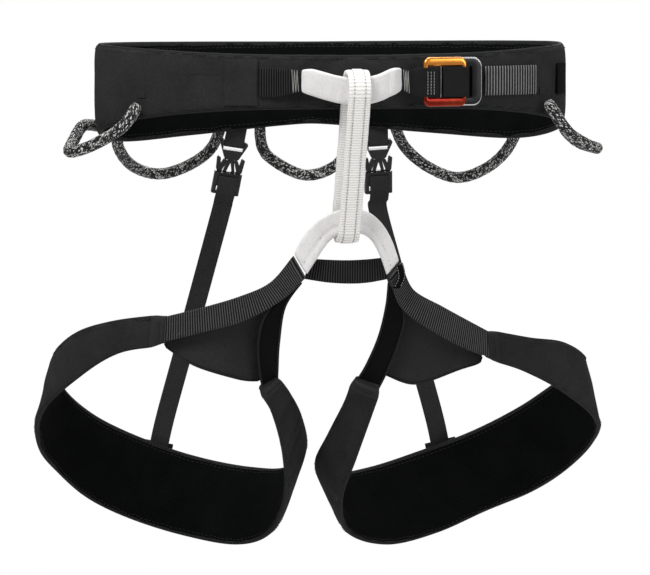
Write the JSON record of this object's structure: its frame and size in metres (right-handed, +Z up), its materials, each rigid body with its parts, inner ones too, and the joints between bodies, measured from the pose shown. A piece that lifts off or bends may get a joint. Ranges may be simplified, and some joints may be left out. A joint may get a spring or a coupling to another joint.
{
  "type": "climbing harness",
  "caption": "Padded climbing harness: waist belt with metal adjuster, belay loop, leg loops joined by elastic rear straps with side-release buckles, and gear loops.",
  "frame": {"origin": "centre of the waist opening, at the height of the middle of the belt", "axes": "+Z up, -Y to the wearer's front, +X to the wearer's left"},
  "size_m": [0.3874, 0.2576, 0.3486],
  "materials": {
    "shell_fabric": "woven shell fabric, matt",
    "lining_mesh": "breathable lining, matt",
    "foam": "closed-cell foam laminate",
    "load_tape": "woven load tape",
    "binding": "narrow woven edge binding",
    "black_webbing": "woven webbing",
    "grey_webbing": "ribbed webbing",
    "white_webbing": "high-tenacity white webbing",
    "thread": "bar-tack thread",
    "gear_sleeve": "braided black and white sleeve over a stiff tube",
    "stretch_fabric": "stretch fabric",
    "elastic": "elastic webbing",
    "black_plastic": "moulded acetal",
    "lock_metal": "black anodised, bright bevelled edge",
    "orange_metal": "orange anodised aluminium"
  },
  "bodies": {
    "waistbelt": {"belt_shell": "shell_fabric", "belt_foam": "foam", "belt_lining": "lining_mesh", "belt_load_tapes": "load_tape", "belt_bindings": "binding", "belt_tongue": "shell_fabric", "belt_front_patch": "shell_fabric", "tie_in_webbing": "black_webbing", "tie_in_sleeve": "white_webbing", "tie_in_bartacks": "thread", "waist_strap": "grey_webbing", "waist_strap_tail": "grey_webbing", "buckle_lock_frame": "lock_metal", "strap_keeper": "black_webbing", "gear_loop_tabs": "black_webbing"},
    "adjuster": {"buckle_adjust_frame": "orange_metal", "adjuster_wrap": "grey_webbing"},
    "belay_loop": {"belay_loop_webbing": "white_webbing", "belay_loop_bartack_strip": "white_webbing"},
    "leg_yoke": {"lower_tie_in_webbing": "black_webbing", "lower_tie_in_sleeve": "white_webbing", "leg_bridge_webbing": "black_webbing"},
    "leg_loop_right": {"leg_shell_right": "shell_fabric", "leg_foam_right": "foam", "leg_lining_right": "lining_mesh", "leg_bindings_right": "binding", "leg_outer_arm_right": "grey_webbing", "leg_inner_arm_right": "black_webbing", "leg_stretch_panel_right": "stretch_fabric", "leg_arm_sleeves_right": "shell_fabric", "leg_strap_patch_right": "shell_fabric"},
    "rear_strap_top_right": {"rear_strap_tab_right": "elastic", "release_male_right": "black_plastic"},
    "prong_outer_right": {"release_prong_outer_right": "black_plastic"},
    "prong_inner_right": {"release_prong_inner_right": "black_plastic"},
    "rear_strap_lower_right": {"release_female_right": "black_plastic", "rear_strap_right": "elastic"},
    "leg_loop_left": {"leg_shell_left": "shell_fabric", "leg_foam_left": "foam", "leg_lining_left": "lining_mesh", "leg_bindings_left": "binding", "leg_outer_arm_left": "grey_webbing", "leg_inner_arm_left": "black_webbing", "leg_stretch_panel_left": "stretch_fabric", "leg_arm_sleeves_left": "shell_fabric", "leg_strap_patch_left": "shell_fabric"},
    "rear_strap_top_left": {"rear_strap_tab_left": "elastic", "release_male_left": "black_plastic"},
    "prong_outer_left": {"release_prong_outer_left": "black_plastic"},
    "prong_inner_left": {"release_prong_inner_left": "black_plastic"},
    "rear_strap_lower_left": {"release_female_left": "black_plastic", "rear_strap_left": "elastic"},
    "gear_front_right": {"gear_loop_front_right": "gear_sleeve"},
    "gear_rear_right": {"gear_loop_rear_right": "gear_sleeve"},
    "gear_centre": {"gear_loop_centre": "gear_sleeve"},
    "gear_rear_left": {"gear_loop_rear_left": "gear_sleeve"},
    "gear_front_left": {"gear_loop_front_left": "gear_sleeve"}
  },
  "joints": [
    {"name": "belay_loop_swing", "type": "hinge", "parent": "waistbelt", "child": "belay_loop", "pos_m": [-0.003, -0.1001, 0.0004], "axis": [1, 0, 0], "range_deg": [-20, 0], "stiffness_Nm_per_rad": 0.3, "springref_deg": 11.46},
    {"name": "leg_yoke_level", "type": "hinge", "parent": "belay_loop", "child": "leg_yoke", "pos_m": [-0.003, -0.0655, -0.0859], "axis": [1, 0, 0], "range_deg": [-1, 24]},
    {"name": "rear_strap_swing_right", "type": "hinge", "parent": "waistbelt", "child": "rear_strap_top_right", "pos_m": [-0.05, 0.078, -0.033], "axis": [1, 0, 0], "range_deg": [-8, 1]},
    {"name": "leg_loop_roll_right", "type": "hinge", "parent": "leg_yoke", "child": "leg_loop_right", "pos_m": [-0.033, -0.064, -0.112], "axis": [-0.2461, 0.7973, -0.5512], "range_deg": [-1, 8], "stiffness_Nm_per_rad": 0.5},
    {"name": "buckle_release_slide_right", "type": "slide", "parent": "rear_strap_top_right", "child": "rear_strap_lower_right", "axis": [-0.1524, 0.225, -0.9624], "range_m": [0, 0.02], "deforming": ["rear_strap_right"]},
    {"name": "prong_squeeze_outer_right", "type": "hinge", "parent": "rear_strap_top_right", "child": "prong_outer_right", "pos_m": [-0.05705, 0.08286, -0.05319], "axis": [-0.0352, -0.9744, -0.2222], "range_deg": [0, 7], "stiffness_Nm_per_rad": 0.01},
    {"name": "prong_squeeze_inner_right", "type": "hinge", "parent": "rear_strap_top_right", "child": "prong_inner_right", "pos_m": [-0.04954, 0.08286, -0.05438], "axis": [0.0352, 0.9744, 0.2222], "range_deg": [0, 7], "stiffness_Nm_per_rad": 0.01},
    {"name": "rear_strap_swing_left", "type": "hinge", "parent": "waistbelt", "child": "rear_strap_top_left", "pos_m": [0.046, 0.078, -0.033], "axis": [1, 0, 0], "range_deg": [-8, 1]},
    {"name": "leg_loop_roll_left", "type": "hinge", "parent": "leg_yoke", "child": "leg_loop_left", "pos_m": [0.029, -0.064, -0.117], "axis": [-0.2898, -0.7922, 0.5371], "range_deg": [-1, 8], "stiffness_Nm_per_rad": 0.5},
    {"name": "buckle_release_slide_left", "type": "slide", "parent": "rear_strap_top_left", "child": "rear_strap_lower_left", "axis": [0.051, 0.225, -0.973], "range_m": [0, 0.02], "deforming": ["rear_strap_left"]},
    {"name": "prong_squeeze_outer_left", "type": "hinge", "parent": "rear_strap_top_left", "child": "prong_outer_left", "pos_m": [0.0509, 0.08286, -0.05382], "axis": [-0.0118, 0.9744, 0.2246], "range_deg": [0, 7], "stiffness_Nm_per_rad": 0.01},
    {"name": "prong_squeeze_inner_left", "type": "hinge", "parent": "rear_strap_top_left", "child": "prong_inner_left", "pos_m": [0.04331, 0.08286, -0.05422], "axis": [0.0118, -0.9744, -0.2246], "range_deg": [0, 7], "stiffness_Nm_per_rad": 0.01},
    {"name": "gear_loop_swing_front_right", "type": "hinge", "parent": "waistbelt", "child": "gear_front_right", "pos_m": [-0.13334, -0.04773, -0.01047], "axis": [-0.1555, 0.9667, -0.203], "range_deg": [-8, 35], "stiffness_Nm_per_rad": 0.05},
    {"name": "gear_loop_swing_rear_right", "type": "hinge", "parent": "waistbelt", "child": "gear_rear_right", "pos_m": [-0.13484, 0.04647, -0.02907], "axis": [0.9127, 0.405, 0.055], "range_deg": [-8, 35], "stiffness_Nm_per_rad": 0.05},
    {"name": "gear_loop_swing_centre", "type": "hinge", "parent": "waistbelt", "child": "gear_centre", "pos_m": [-0.03336, 0.08443, -0.0222], "axis": [1, 0.0027, 0.0021], "range_deg": [-8, 35], "stiffness_Nm_per_rad": 0.05},
    {"name": "gear_loop_swing_rear_left", "type": "hinge", "parent": "waistbelt", "child": "gear_rear_left", "pos_m": [0.05573, 0.08096, -0.02423], "axis": [0.9139, -0.4021, -0.055], "range_deg": [-8, 35], "stiffness_Nm_per_rad": 0.05},
    {"name": "gear_loop_swing_front_left", "type": "hinge", "parent": "waistbelt", "child": "gear_front_left", "pos_m": [0.13149, -0.04922, -0.01016], "axis": [-0.3365, -0.9207, 0.1976], "range_deg": [-8, 35], "stiffness_Nm_per_rad": 0.05},
    {"name": "adjuster_tilt", "type": "hinge", "parent": "waistbelt", "child": "adjuster", "pos_m": [0.0497, -0.08617, 0.004], "axis": [0, 0, -1], "range_deg": [0, 18], "stiffness_Nm_per_rad": 0.05}
  ],
  "couplings": [
    {"joint": "leg_yoke_level", "follows": "belay_loop_swing", "ratio": -1.0682},
    {"joint": "rear_strap_swing_right", "follows": "belay_loop_swing", "ratio": 0.3386},
    {"joint": "prong_squeeze_inner_right", "follows": "prong_squeeze_outer_right", "ratio": 1},
    {"joint": "rear_strap_swing_left", "follows": "belay_loop_swing", "ratio": 0.3386},
    {"joint": "prong_squeeze_inner_left", "follows": "prong_squeeze_outer_left", "ratio": 1}
  ]
}
